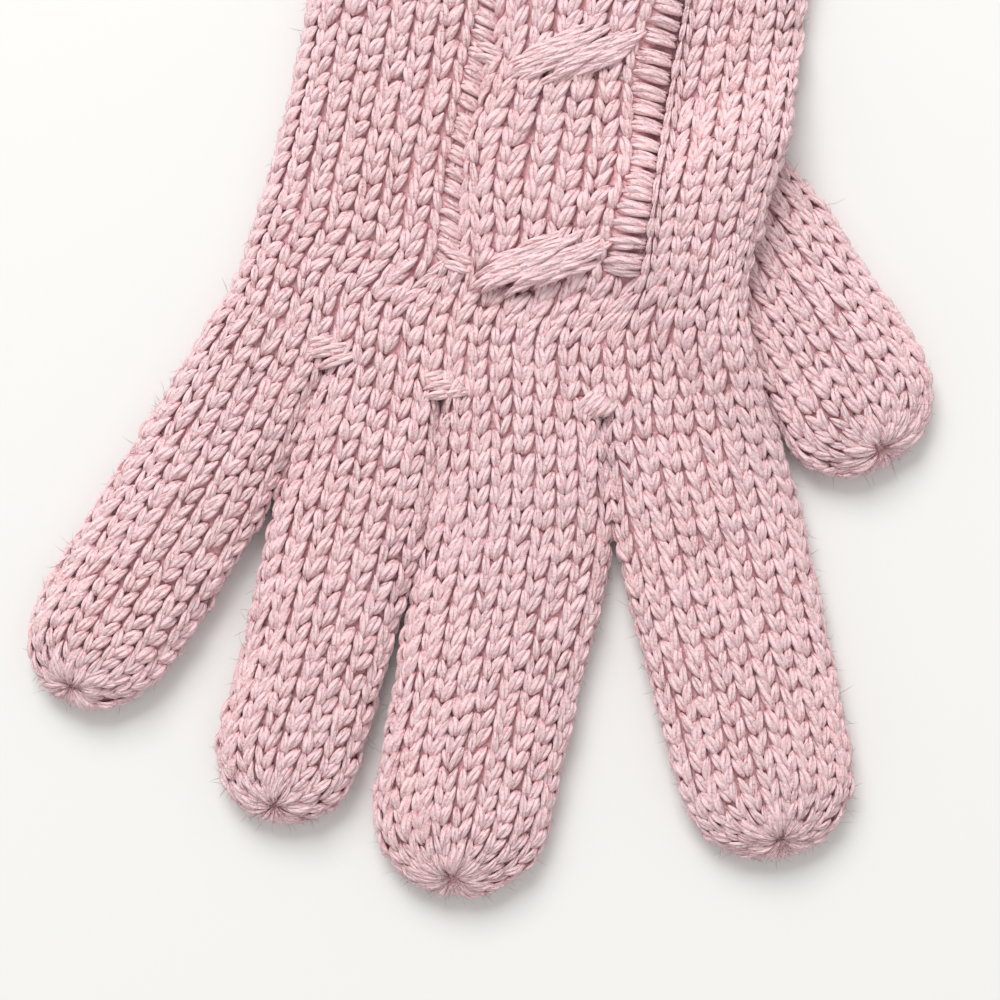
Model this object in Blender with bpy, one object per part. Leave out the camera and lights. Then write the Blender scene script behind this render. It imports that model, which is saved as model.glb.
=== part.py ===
"""A knitted right-hand glove laid flat with its back up, as separate fabric tubes: the ribbed cuff,
the hand with its raised cable, four fingers and the thumb, which lies half under the hand.

The frame has +Z up and the table at Z = 0. The fingers point to -Y, the cuff to +Y, the little finger
lies on the -X side and the thumb on the +X side. The origin is the middle of the outline's box.
The tables are in millimetres, and MM turns them into metres as each mesh is made.
"""

import math

import bpy
from mathutils import Vector

MM = 0.001

# Fabric: plump stockinette in a thick yarn, two layers of it lying on each other.
WALL = 2.6
SEAM_GAP = 0.3
HAND_HIGH = 7.4
FINGER_HIGH = 8.0
THUMB_HIGH = 7.8
EDGE_SHARE = 0.43  # the height of the widest line, as a share of the whole height
EDGE_ROUND = 8.0  # how far in from a hand or cuff edge the back becomes flat
CROTCH_ROUND = 2.4  # the same at a finger's root, where it joins its neighbour
UNDER_ROUND = 4.2  # the same on the underside, which rests on the table
ROUND_POWER = 2.2

# Lengths along the glove.
CUFF_END_Y = 119.0
WRIST_Y = 59.0

# The hand's edges, from the wrist (0) to the line of the finger roots (1).
HAND_EDGES = (
    # share, left x, right x, middle of the cable x
    (0.00, -34.0, 31.0, 1.4),
    (0.20, -38.0, 34.8, 1.3),
    (0.35, -39.2, 36.2, 1.2),
    (0.50, -39.6, 36.5, 1.0),
    (0.60, -39.7, 36.6, 0.9),
    (0.70, -40.1, 35.3, 0.8),
    (0.80, -41.0, 34.1, 1.3),
    (0.88, -41.9, 34.4, 1.6),
    (0.94, -42.7, 36.1, 1.5),
    (1.00, -43.7, 38.7, 1.2),
)
# The line where the hand ends and the fingers begin: its ends and the three crotches.
FINGER_LINE = (
    # share across, y
    (0.000, -31.5),
    (0.204, -39.2),
    (0.416, -41.9),
    (0.711, -39.7),
    (1.000, -33.5),
)

# The cable on the back of the hand: three lobes side by side, which cross again and again, with a
# sunken gutter on each side. It is as wide as named here half way between two crossings.
CABLE_MID = 0.545  # the share of the hand's width at which its middle lies
CABLE_HALF = 12.4
GUTTER_WIDE = 3.4
GUTTER_DEEP = 1.0
LOBES = 3
LOBE_HIGH = 1.4
LOBE_PINCH = 0.24  # how much narrower the cable is at a crossing
CROSSING_PITCH = 32.0
CROSSINGS = 3
CROSSING_LOWEST_Y = -20.9
CROSSING_SLOPE = math.radians(29.0)
CROSSING_LONG = 22.0
CROSSING_WIDE = 6.6
CROSSING_HIGH = 2.6
CABLE_END_Y = -23.0

# The fingers: which stretch of the finger line each grows from, how far it leans to the left of
# straight down, its length, how much of it closes to the tip, how deep the fabric's edge is rounded
# at the root on each side, and its edges past the root.
FINGER_SHAPES = {
    "finger_little": {
        "stretch": 0,
        "lean": 18.2,
        "long": 68.0,
        "closing": 13.5,
        "root_round": (EDGE_ROUND, CROTCH_ROUND),
        "edges": (
            # along, left, right
            (10.0, -10.1, 9.4),
            (20.0, -10.6, 10.4),
            (30.0, -11.3, 11.0),
            (40.0, -11.9, 10.8),
            (50.0, -12.8, 10.3),
            (60.0, -13.1, 8.9),
            (68.0, -13.2, 8.4),
        ),
    },
    "finger_ring": {
        "stretch": 1,
        "lean": 4.1,
        "long": 72.0,
        "closing": 13.0,
        "root_round": (CROTCH_ROUND, CROTCH_ROUND),
        "edges": (
            (10.0, -9.5, 9.9),
            (20.0, -10.7, 10.9),
            (30.0, -11.3, 11.0),
            (40.0, -11.5, 10.8),
            (50.0, -11.5, 10.6),
            (60.0, -12.0, 10.2),
            (72.0, -11.9, 9.9),
        ),
    },
    "finger_middle": {
        "stretch": 2,
        "lean": -2.3,
        "long": 78.2,
        "closing": 14.5,
        "root_round": (CROTCH_ROUND, CROTCH_ROUND),
        "edges": (
            (10.0, -11.1, 14.0),
            (20.0, -11.2, 15.8),
            (30.0, -12.0, 15.9),
            (40.0, -13.2, 15.0),
            (50.0, -13.7, 14.3),
            (60.0, -14.5, 13.2),
            (78.2, -14.4, 12.0),
        ),
    },
    "finger_index": {
        "stretch": 3,
        "lean": -21.0,
        "long": 73.4,
        "closing": 14.5,
        "root_round": (CROTCH_ROUND, EDGE_ROUND),
        "edges": (
            (8.0, -12.7, 13.3),
            (16.0, -13.2, 14.2),
            (26.0, -13.3, 14.8),
            (40.0, -13.2, 14.8),
            (52.0, -12.8, 14.9),
            (62.0, -12.2, 14.8),
            (73.4, -11.9, 14.6),
        ),
    },
}
EVEN_ALONG = 0.3  # the share of a finger's length over which its root's slant and rounding fade

# The thumb lies on the table, and the palm and the root of the index finger lie on it.
THUMB = {
    "root": (26.8, -5.2),
    "lean": -38.8,
    "slant": 0.0,
    "long": 50.0,
    "closing": 12.5,
    "root_round": (EDGE_ROUND, EDGE_ROUND),
    "edges": (
        (0.0, -10.6, 11.9),
        (10.0, -10.4, 13.9),
        (20.0, -9.9, 14.6),
        (30.0, -9.4, 15.4),
        (40.0, -9.6, 15.6),
        (50.0, -9.8, 15.4),
    ),
}
THUMB_PRESSED = 6.2  # its height where the hand lies on it
LIFT_RAMP = 13.0  # how far beside the thumb the palm comes down to the table
LIFT_ROOT_RAMP = 15.0  # how far before its root
LIFT_ALONG = (22.0, 50.0)  # along the thumb, where what lies on it comes down again
THUMB_ROOT_GAP = 1.0  # how near below the sloping palm its root ends
THUMB_HOLE = (-14.5, -3.0, -8.0, 8.5)  # along the thumb from and to, across it from and to
THUMB_HOLE_HIGH = 0.8

# The cuff: plain two-by-two rib.
CUFF_HALF = (32.0, 34.0)  # half its width at the wrist and at its open end
CUFF_MID_X = -1.5
CUFF_HIGH = 7.6
RIBS = 12  # raised pairs of wales around the cuff
RIB_HIGH = 1.1

# How finely the meshes are divided.
FINGER_TOP_STEPS = 7
UNDER_STEPS = 5
HAND_LEFT_COLUMNS = (0.0, 0.5, 1.8, 4.0, 7.5, 13.0, 20.0)  # in from the edge
HAND_RIGHT_COLUMNS = (0.0, 0.5, 1.8, 4.0, 7.5, 10.5, 13.5, 17.0)
UNDER_KEPT = 2  # the palm has one column for so many of the cable's
CABLE_COLUMNS = 18
ROOT_STEP = 0.2

PINK = (0.66, 0.40, 0.43, 1.0)
ROUGHNESS = 0.95


def smooth(share):
    """0 before 0, 1 after 1, and an even S between them."""
    t = min(1.0, max(0.0, share))
    return t * t * (3 - 2 * t)


def mix(a, b, share):
    return a + (b - a) * share


def read(table, at, column):
    """A column of a table at any place along its first one, as a smooth curve through its rows."""
    last = len(table) - 1
    i = 0
    while i < last - 1 and at > table[i + 1][0]:
        i += 1
    t = (at - table[i][0]) / (table[i + 1][0] - table[i][0])
    t = min(1.0, max(0.0, t))
    value = [table[min(last, max(0, i + k))][column] for k in (-1, 0, 1, 2)]
    place = [table[min(last, max(0, i + k))][0] for k in (-1, 0, 1, 2)]
    step = place[2] - place[1]
    slope_in = (value[2] - value[0]) / (place[2] - place[0]) * step
    slope_out = (value[3] - value[1]) / (place[3] - place[1]) * step
    t2, t3 = t * t, t * t * t
    return (
        (2 * t3 - 3 * t2 + 1) * value[1]
        + (t3 - 2 * t2 + t) * slope_in
        + (3 * t2 - 2 * t3) * value[2]
        + (t3 - t2) * slope_out
    )


def straight(table, at):
    """The second column of a table at a place along its first one, in straight stretches."""
    for (x0, y0), (x1, y1) in zip(table, table[1:]):
        if at <= x1:
            return mix(y0, y1, (at - x0) / (x1 - x0))
    return table[-1][1]


def swell(inward, rounding):
    """How full the tube is at a distance in from its edge: 0 at the edge and 1 past the rounding."""
    t = min(1.0, max(0.0, inward / rounding))
    return math.sqrt(1 - (1 - t) ** ROUND_POWER)


def line_end(number):
    """One of the five points of the finger line: its ends and the three crotches."""
    share, y = FINGER_LINE[number]
    return mix(HAND_EDGES[-1][1], HAND_EDGES[-1][2], share), y


def rooted(shape):
    """A finger's shape with its root, its slant and its first row of edges from the finger line."""
    x0, y0 = line_end(shape["stretch"])
    x1, y1 = line_end(shape["stretch"] + 1)
    turn = -math.radians(shape["lean"]) - math.atan2(y1 - y0, x1 - x0)
    half = math.hypot(x1 - x0, y1 - y0) / 2 * math.cos(turn) - SEAM_GAP
    finger = dict(shape)
    finger["root"] = ((x0 + x1) / 2, (y0 + y1) / 2)
    finger["slant"] = math.tan(turn)
    finger["edges"] = ((0.0, -half, half),) + shape["edges"]
    return finger


def thumb_place(x, y):
    """A place on the table as (along, across) the thumb."""
    lean = math.radians(THUMB["lean"])
    dx, dy = x - THUMB["root"][0], y - THUMB["root"][1]
    along = -dx * math.sin(lean) - dy * math.cos(lean)
    across = dx * math.cos(lean) - dy * math.sin(lean)
    return along, across


def lift(x, y):
    """How far the thumb raises what lies at this place above the table."""
    along, across = thumb_place(x, y)
    inner_edge = read(THUMB["edges"], along, 1)
    beside = smooth((across - inner_edge + LIFT_RAMP) / (LIFT_RAMP + THUMB_PRESSED / 2))
    before = smooth((along + LIFT_ROOT_RAMP) / LIFT_ROOT_RAMP)
    after = 1 - smooth((along - LIFT_ALONG[0]) / (LIFT_ALONG[1] - LIFT_ALONG[0]))
    return (THUMB_PRESSED + SEAM_GAP) * beside * before * after


def level(inward, high, rounding, on_top, inset):
    """The height of a tube's wall at a distance in from its edge."""
    edge = EDGE_SHARE * high
    if on_top:
        return edge + (high - inset - edge) * swell(inward, rounding)
    return edge - (edge - inset) * swell(inward, min(UNDER_ROUND, rounding))


def ring_shares():
    """Shares across a finger, -1 to 1, over its top from left to right and back under it."""
    over = range(-FINGER_TOP_STEPS, FINGER_TOP_STEPS + 1)
    under = range(UNDER_STEPS - 1, -UNDER_STEPS, -1)
    top = [(math.sin(math.pi / 2 * k / FINGER_TOP_STEPS), True) for k in over]
    return top + [(math.sin(math.pi / 2 * k / UNDER_STEPS), False) for k in under]


def finger_ring(finger, high, along, inset):
    """One ring of a finger's outer face (inset 0) or of its inner face (inset the wall)."""
    long = finger["long"] - inset
    closing = finger["closing"] - inset
    left = read(finger["edges"], along, 1) + inset
    right = read(finger["edges"], along, 2) - inset
    closed = max(0.0, (along - long + closing) / closing)
    width_share = (1 - closed**ROUND_POWER) ** (1 / ROUND_POWER)
    middle, half = (left + right) / 2, (right - left) / 2 * width_share
    top_share = math.sqrt(1 - closed**ROUND_POWER)
    under_closed = max(0.0, (along - long + UNDER_ROUND) / UNDER_ROUND)
    under_share = math.sqrt(1 - under_closed**ROUND_POWER)
    grown = smooth(along / (EVEN_ALONG * finger["long"]))
    lean = math.radians(finger["lean"])
    edge = EDGE_SHARE * high
    points = []
    for share, on_top in ring_shares():
        across = middle + half * share
        root_round = finger["root_round"][0 if share < 0 else 1]
        rounding = mix(root_round, (right - left) / 2, grown) - inset * (1 - grown)
        z = level(half * (1 - abs(share)), high, rounding, on_top, inset)
        z = edge + (z - edge) * (top_share if on_top else under_share)
        down = along + finger["slant"] * across * (1 - grown)
        x = finger["root"][0] - down * math.sin(lean) + across * math.cos(lean)
        y = finger["root"][1] - down * math.cos(lean) - across * math.sin(lean)
        points.append((x, y, z))
    return points


def finger_stops(finger, start, count, tip_steps, inset):
    """Distances along a finger for its rings, closer together where its tip closes."""
    long = finger["long"] - inset
    closing = finger["closing"] - inset
    body = long - closing
    stops = [mix(start, body, (k / count) ** 1.3) for k in range(count + 1)]
    tip = [math.sin(math.pi / 2 * k / (tip_steps + 1)) for k in range(1, tip_steps + 1)]
    return stops + [body + closing * share for share in tip]


def finger_pole(finger, high, inset):
    """The point where a finger's tip is drawn together."""
    long = finger["long"] - inset
    middle = (read(finger["edges"], long, 1) + read(finger["edges"], long, 2)) / 2
    lean = math.radians(finger["lean"])
    x = finger["root"][0] - long * math.sin(lean) + middle * math.cos(lean)
    y = finger["root"][1] - long * math.cos(lean) - middle * math.sin(lean)
    return x, y, EDGE_SHARE * high


def hand_columns():
    """Shares across the back of the hand: the left side's, the cable's and the right side's."""
    wide = HAND_EDGES[-1][2] - HAND_EDGES[-1][1]
    reach = (CABLE_HALF + GUTTER_WIDE) / wide
    left = [side / wide for side in HAND_LEFT_COLUMNS]
    right = [1 - side / wide for side in reversed(HAND_RIGHT_COLUMNS)]
    steps = range(CABLE_COLUMNS + 1)
    cable = [CABLE_MID + reach * (2 * k / CABLE_COLUMNS - 1) for k in steps]
    return left, cable, right


def crossing_ys():
    return [CROSSING_LOWEST_Y + CROSSING_PITCH * k for k in range(CROSSINGS)]


def cable_relief(x, y):
    """How far the cable stands out from the back of the hand, x from its middle, or is sunk."""
    off = min((y - crossing for crossing in crossing_ys()), key=abs)
    pinch = LOBE_PINCH * (0.5 + 0.5 * math.cos(2 * math.pi * off / CROSSING_PITCH))
    half = CABLE_HALF * (1 - pinch)
    if abs(x) < half:
        relief = LOBE_HIGH * abs(math.cos(LOBES * math.pi / 2 * x / half)) ** 0.7
    else:
        relief = -GUTTER_DEEP * math.sin(math.pi * min(1.0, (abs(x) - half) / GUTTER_WIDE))
    relief *= smooth((y - CABLE_END_Y) / 5 + 0.5)
    along = x * math.cos(CROSSING_SLOPE) + off * math.sin(CROSSING_SLOPE)
    aside = off * math.cos(CROSSING_SLOPE) - x * math.sin(CROSSING_SLOPE)
    past = max(0.0, abs(along) - (CROSSING_LONG - CROSSING_WIDE) / 2)
    away = math.hypot(past, aside) / (CROSSING_WIDE / 2)
    strand = CROSSING_HIGH * math.sqrt(max(0.0, 1 - (away / 1.25) ** 2))
    return max(relief, strand)


def hand_x(share, down):
    """The x of a wale of the hand, which runs straight down beside the cable's middle."""
    left, right, middle = (read(HAND_EDGES, down, column) for column in (1, 2, 3))
    if share < CABLE_MID:
        return mix(left, middle, share / CABLE_MID)
    return mix(middle, right, (share - CABLE_MID) / (1 - CABLE_MID))


def hand_point(share, down, on_top, inset):
    """A point of the hand's wall: share across from left to right, down from wrist to fingers."""
    left, right = read(HAND_EDGES, down, 1), read(HAND_EDGES, down, 2)
    y = mix(WRIST_Y, straight(FINGER_LINE, share), down)
    x = hand_x(share, down)
    narrowed = 1 - 2 * inset / (right - left)
    x = (left + right) / 2 + (x - (left + right) / 2) * narrowed
    inward = min(x - left, right - x) - inset
    z = level(inward, HAND_HIGH, EDGE_ROUND - inset, on_top, inset)
    if on_top and inset == 0:
        z += cable_relief(x - read(HAND_EDGES, down, 3), y)
    return x, y, z + lift(x, y)


def hand_ring(down, inset):
    left, cable, right = hand_columns()
    under = left[1:] + cable[UNDER_KEPT:-1:UNDER_KEPT] + right[:-1]
    over = [hand_point(share, down, True, inset) for share in left + cable + right]
    return over + [hand_point(share, down, False, inset) for share in reversed(under)]


def hand_stops():
    """Shares from wrist to fingers for the hand's rings, closer together at the crossings."""
    end = straight(FINGER_LINE, CABLE_MID)
    ys = [WRIST_Y]
    for crossing in reversed(crossing_ys()):
        ys += [crossing + off for off in (9.0, 6.0, 4.0, 2.0, 0.0, -2.0, -4.0, -6.0, -9.0)]
        ys += [crossing - off for off in (12.5, 16.0, 19.5)]
    ys = [y for y in ys if y > end + 2] + [end]
    return [(WRIST_Y - y) / (WRIST_Y - end) for y in ys]


def cuff_ring(along, inset):
    """One ring of the cuff: its ribs are raised in the outer points, but not where it rests."""
    half = mix(CUFF_HALF[1], CUFF_HALF[0], along) - inset
    y = mix(CUFF_END_Y, WRIST_Y + SEAM_GAP, along)
    steps = 2 * RIBS
    points = []
    for on_top in (True, False):
        for k in range(steps):
            turn = math.pi * k / steps
            share = -math.cos(turn) if on_top else math.cos(turn)
            share = math.copysign(abs(share) ** 0.8, share)
            z = level(half * (1 - abs(share)), CUFF_HIGH, EDGE_ROUND - inset, on_top, inset)
            raised = on_top and inset == 0 and k % 4 in (1, 2)
            points.append((CUFF_MID_X + half * share, y, z + (RIB_HIGH if raised else 0)))
    return points


def fabric(name):
    material = bpy.data.materials.new(name)
    material.use_nodes = True
    shader = material.node_tree.nodes["Principled BSDF"]
    shader.inputs["Base Color"].default_value = PINK
    shader.inputs["Roughness"].default_value = ROUGHNESS
    shader.inputs["Metallic"].default_value = 0.0
    material.diffuse_color = PINK
    return material


def tube(name, outer, inner, outer_pole=None, inner_pole=None):
    """A wall between rings of outer and of inner points, open at its first ring.

    Its far end is open too, or both faces are drawn together at their poles.
    """
    points, faces = [], []
    count = len(outer[0])

    def add_rings(rings):
        first = []
        for ring in rings:
            first.append(len(points))
            points.extend(ring)
        return first

    def join(a, b):
        for k in range(count):
            n = (k + 1) % count
            faces.append((a + k, b + k, b + n, a + n))

    def draw_together(a, pole, turned):
        points.append(pole)
        for k in range(count):
            n = (k + 1) % count
            face = (a + k, len(points) - 1, a + n)
            faces.append(face[::-1] if turned else face)

    outside, inside = add_rings(outer), add_rings(inner)
    for a, b in zip(outside, outside[1:]):
        join(a, b)
    for a, b in zip(inside, inside[1:]):
        join(b, a)
    join(inside[0], outside[0])
    if outer_pole:
        draw_together(outside[-1], outer_pole, False)
        draw_together(inside[-1], inner_pole, True)
    else:
        join(outside[-1], inside[-1])
    mesh = bpy.data.meshes.new(name)
    mesh.from_pydata([Vector(p) * MM for p in points], [], faces)
    mesh.validate()
    mesh.shade_smooth()
    obj = bpy.data.objects.new(name, mesh)
    obj.data.materials.append(fabric(name))
    bpy.context.scene.collection.objects.link(obj)
    return obj


def raised(ring):
    return [(x, y, z + lift(x, y)) for x, y, z in ring]


def finger_high(along):
    """A finger is as high as the hand at its root and plumper past it."""
    return mix(HAND_HIGH, FINGER_HIGH, smooth(along / 15))


def make_finger(name, shape):
    finger = rooted(shape)
    outer = [
        raised(finger_ring(finger, finger_high(s), s, 0))
        for s in finger_stops(finger, SEAM_GAP, 7, 4, 0)
    ]
    inner = [
        raised(finger_ring(finger, finger_high(s), s, WALL))
        for s in finger_stops(finger, SEAM_GAP, 4, 3, WALL)
    ]
    poles = [raised([finger_pole(finger, FINGER_HIGH, inset)])[0] for inset in (0, WALL)]
    return tube(name, outer, inner, *poles)


def joined_to_palm(ring):
    """A ring of the thumb's root, drawn back under the palm until each point meets it."""
    lean = math.radians(THUMB["lean"])
    points = []
    for x, y, z in ring:
        while lift(x, y) > z + THUMB_ROOT_GAP:
            x += ROOT_STEP * math.sin(lean)
            y += ROOT_STEP * math.cos(lean)
        points.append((x, y, z))
    return points


def make_thumb():
    faces = []
    for inset, body_steps, tip_steps in ((0, 6, 4), (WALL, 4, 3)):
        stops = finger_stops(THUMB, 0.0, body_steps, tip_steps, inset)
        rings = [finger_ring(THUMB, thumb_high(s), s, inset) for s in stops]
        faces.append([joined_to_palm(rings[0])] + rings[1:])
    poles = [finger_pole(THUMB, thumb_high(THUMB["long"]), inset) for inset in (0, WALL)]
    return tube("thumb", *faces, *poles)


def thumb_high(along):
    """The thumb is pressed flatter where the hand lies on it."""
    return mix(THUMB_PRESSED, THUMB_HIGH, smooth((along - 8) / 25))


def thumb_hole_cutter():
    """A flat slab through the palm, from the thumb's hollow into the hand's."""
    start, end, left, right = THUMB_HOLE
    bpy.ops.mesh.primitive_cube_add(size=MM)
    cutter = bpy.context.object
    cutter.name = "thumb_hole_cutter"
    cutter.scale = (right - left, end - start, THUMB_HOLE_HIGH)
    lean = math.radians(THUMB["lean"])
    along, across = (start + end) / 2, (left + right) / 2
    x = THUMB["root"][0] - along * math.sin(lean) + across * math.cos(lean)
    y = THUMB["root"][1] - along * math.cos(lean) - across * math.sin(lean)
    cutter.location = Vector((x, y, THUMB_PRESSED / 2)) * MM
    cutter.rotation_euler.z = -lean
    cutter.hide_render = True
    cutter.display_type = "WIRE"
    return cutter


def make_hand():
    outer = [hand_ring(down, 0) for down in hand_stops()]
    inner = [hand_ring(down, WALL) for down in hand_stops()[::4] + [1.0]]
    hand = tube("hand", outer, inner)
    hole = hand.modifiers.new("thumb_hole", "BOOLEAN")
    hole.operation = "DIFFERENCE"
    hole.solver = "EXACT"
    hole.object = thumb_hole_cutter()
    return hand


def make_cuff():
    outer = [cuff_ring(k / 5, 0) for k in range(6)]
    inner = [cuff_ring(k / 2, WALL) for k in range(3)]
    return tube("cuff", outer, inner)


def clear_scene():
    for obj in list(bpy.data.objects):
        bpy.data.objects.remove(obj, do_unlink=True)


clear_scene()
make_cuff()
make_hand()
for finger_name, finger_shape in FINGER_SHAPES.items():
    make_finger(finger_name, finger_shape)
make_thumb()
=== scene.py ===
"""The looks of the knitted glove: its fabric, stitch by stitch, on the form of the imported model.

The glove lies flat with its back up. The frame has +Z up and the table at Z = 0, the fingers point to -Y,
the little finger lies on the -X side and the thumb on the +X side. Sizes here are in millimetres, as in the
tables below, and MM turns them into metres as each mesh is made.

Each part of the glove is a net: its outer face, read at any wale (counted round the tube from the left edge
over the back) and any course (counted from the cuff towards the fingertips). The yarn lies on the nets.
"""

import math

import bpy
import numpy as np
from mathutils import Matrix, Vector


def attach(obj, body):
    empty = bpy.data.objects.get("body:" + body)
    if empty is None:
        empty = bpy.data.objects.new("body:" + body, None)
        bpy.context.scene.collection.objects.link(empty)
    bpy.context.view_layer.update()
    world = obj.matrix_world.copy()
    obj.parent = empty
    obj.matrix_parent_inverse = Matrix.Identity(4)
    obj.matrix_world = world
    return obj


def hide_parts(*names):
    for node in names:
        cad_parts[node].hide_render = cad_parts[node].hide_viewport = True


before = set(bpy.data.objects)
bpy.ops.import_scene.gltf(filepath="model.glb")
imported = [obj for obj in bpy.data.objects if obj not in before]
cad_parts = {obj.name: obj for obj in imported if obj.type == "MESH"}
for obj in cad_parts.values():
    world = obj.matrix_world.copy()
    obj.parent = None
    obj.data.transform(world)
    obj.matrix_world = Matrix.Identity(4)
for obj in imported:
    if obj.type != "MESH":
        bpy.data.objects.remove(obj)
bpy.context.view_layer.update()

MM = 0.001
rng = np.random.default_rng(7)

# -------------------- the glove's form, as in the model

HAND_HIGH = 7.4
FINGER_HIGH = 8.0
THUMB_HIGH = 7.8
EDGE_SHARE = 0.43  # the height of the widest line, as a share of the whole height
EDGE_ROUND = 8.0  # how far in from a hand or cuff edge the back becomes flat
CROTCH_ROUND = 2.4  # the same at a finger's root, where it joins its neighbour
UNDER_ROUND = 4.2  # the same on the underside, which rests on the table
ROUND_POWER = 2.2
CUFF_END_Y = 119.0
WRIST_Y = 59.0
HAND_EDGES = np.array((
    # share of the way from the wrist to the finger line, left x, right x, middle of the cable x
    (0.00, -34.0, 31.0, 1.4),
    (0.20, -38.0, 34.8, 1.3),
    (0.35, -39.2, 36.2, 1.2),
    (0.50, -39.6, 36.5, 1.0),
    (0.60, -39.7, 36.6, 0.9),
    (0.70, -40.1, 35.3, 0.8),
    (0.80, -41.0, 34.1, 1.3),
    (0.88, -41.9, 34.4, 1.6),
    (0.94, -42.7, 36.1, 1.5),
    (1.00, -43.7, 38.7, 1.2),
))
FINGER_LINE = np.array((
    # share of the hand's width, y
    (0.000, -31.5),
    (0.204, -39.2),
    (0.416, -41.9),
    (0.711, -39.7),
    (1.000, -33.5),
))
CABLE_MID = 0.545  # the share of the hand's width at which its middle lies
LOBES = 3
CROSSING_PITCH = 32.0
CROSSINGS = 3
CROSSING_LOWEST_Y = -20.9
CABLE_END_Y = -23.0

# Each finger's stretch of the finger line, and its edges: rows of along, left, right.
FINGERS = {
    "finger_little": {
        "stretch": 0,
        "lean": 18.2,
        "long": 68.0,
        "closing": 13.5,
        "root_round": (EDGE_ROUND, CROTCH_ROUND),
        "edges": (
            (10.0, -10.1, 9.4),
            (20.0, -10.6, 10.4),
            (30.0, -11.3, 11.0),
            (40.0, -11.9, 10.8),
            (50.0, -12.8, 10.3),
            (60.0, -13.1, 8.9),
            (68.0, -13.2, 8.4),
        ),
    },
    "finger_ring": {
        "stretch": 1,
        "lean": 4.1,
        "long": 72.0,
        "closing": 13.0,
        "root_round": (CROTCH_ROUND, CROTCH_ROUND),
        "edges": (
            (10.0, -9.5, 9.9),
            (20.0, -10.7, 10.9),
            (30.0, -11.3, 11.0),
            (40.0, -11.5, 10.8),
            (50.0, -11.5, 10.6),
            (60.0, -12.0, 10.2),
            (72.0, -11.9, 9.9),
        ),
    },
    "finger_middle": {
        "stretch": 2,
        "lean": -2.3,
        "long": 78.2,
        "closing": 14.5,
        "root_round": (CROTCH_ROUND, CROTCH_ROUND),
        "edges": (
            (10.0, -11.1, 14.0),
            (20.0, -11.2, 15.8),
            (30.0, -12.0, 15.9),
            (40.0, -13.2, 15.0),
            (50.0, -13.7, 14.3),
            (60.0, -14.5, 13.2),
            (78.2, -14.4, 12.0),
        ),
    },
    "finger_index": {
        "stretch": 3,
        "lean": -21.0,
        "long": 73.4,
        "closing": 14.5,
        "root_round": (CROTCH_ROUND, EDGE_ROUND),
        "edges": (
            (8.0, -12.7, 13.3),
            (16.0, -13.2, 14.2),
            (26.0, -13.3, 14.8),
            (40.0, -13.2, 14.8),
            (52.0, -12.8, 14.9),
            (62.0, -12.2, 14.8),
            (73.4, -11.9, 14.6),
        ),
    },
}
EVEN_ALONG = 0.3  # the share of a finger's length over which its root's slant and rounding fade
LOW_ALONG = 15.0  # how far along it a finger reaches its own height
THUMB = {
    "root": (26.8, -5.2),
    "lean": -38.8,
    "slant": 0.0,
    "long": 50.0,
    "closing": 12.5,
    "root_round": (EDGE_ROUND, EDGE_ROUND),
    "edges": np.array((
        (0.0, -10.6, 11.9),
        (10.0, -10.4, 13.9),
        (20.0, -9.9, 14.6),
        (30.0, -9.4, 15.4),
        (40.0, -9.6, 15.6),
        (50.0, -9.8, 15.4),
    )),
}
THUMB_PRESSED = 6.2  # its height where the hand lies on it
THUMB_FREE = (8.0, 33.0)  # along the thumb, where it comes to its own height
SEAM_GAP = 0.3
LIFT_RAMP = 13.0  # how far beside the thumb the palm comes down to the table
LIFT_ROOT_RAMP = 15.0  # how far before its root
LIFT_ALONG = (22.0, 50.0)  # along the thumb, where what lies on it comes down again
CUFF_HALF = (32.0, 34.0)  # half its width at the wrist and at its open end
CUFF_MID_X = -1.5
CUFF_HIGH = 7.6
RIB_HIGH = 1.1
RIB_WALES = 4  # two knit and two purl

# -------------------- the knitting

# The cable as it is knitted, a little wider and higher than the smooth one of the model.
CABLE_HALF = 13.5
CABLE_ASIDE = 1.1  # how far its knitting lies towards the thumb from the middle line
LOBE_HIGH = 1.5
LOBE_PINCH = 0.17  # how much narrower the cable is at a crossing
GROOVE_SHARE = 0.36  # how deep the grooves between the lobes are, as a share of LOBE_HIGH
GUTTER_DEEP = 1.1
PANEL_LEFT = 13.9  # from the middle of the cable to the outer side of the gutter on its left
PANEL_RIGHT = 15.6
CROSSING_SLOPE = math.radians(21.0)
PANEL_FADE = 13.0  # how far beyond the cable's end the wales spread evenly over the back
THUMB_START = -11.0  # how far back under the palm the thumb's yarn begins
# The yarn of two fingers fills the gap between them near their roots: how far on each side, and where
# along the fingers it starts, is at its fullest until, and ends.
SNUG = 1.15
SNUG_ALONG = (7.0, 14.0, 48.0)

WALES_TOP = 24  # across the back of the hand, and as many across the palm
ADDED_WIDE = 0.25
# The back's wales from the left edge, between these places. An added wale is only ADDED_WIDE wide beside
# the panel, where it has no stitches, and grows in below the cable.
LEFT_WALES = 8
LEFT_ADDED = LEFT_WALES
LEFT_PURL = LEFT_ADDED + 1
CABLE_FIRST = LEFT_PURL + 1
CABLE_WALES = 6
RIGHT_PURL = CABLE_FIRST + CABLE_WALES
RIGHT_ADDED = RIGHT_PURL + 1
RIGHT_FIRST = RIGHT_ADDED + 1
HAND_COURSES = 37
CABLE_COURSES = HAND_COURSES - 7  # the courses that the gutters beside the cable last
CUFF_COURSES = 23
# Wales round, courses from root to tip, and the side of the fuller leg of each stitch: 1 left, -1 right.
KNIT = {
    "finger_little": (15, 25, 1),
    "finger_ring": (15, 26, 1),
    "finger_middle": (19, 28, 1),
    "finger_index": (19, 27, -1),
    "thumb": (17, 22, -1),
}
TIP_TILT = math.radians(35)  # how far back over the tip the drawn-up end lies
NET_FINE = 6  # net samples a wale
NET_ROWS = 4  # net samples a course
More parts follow.
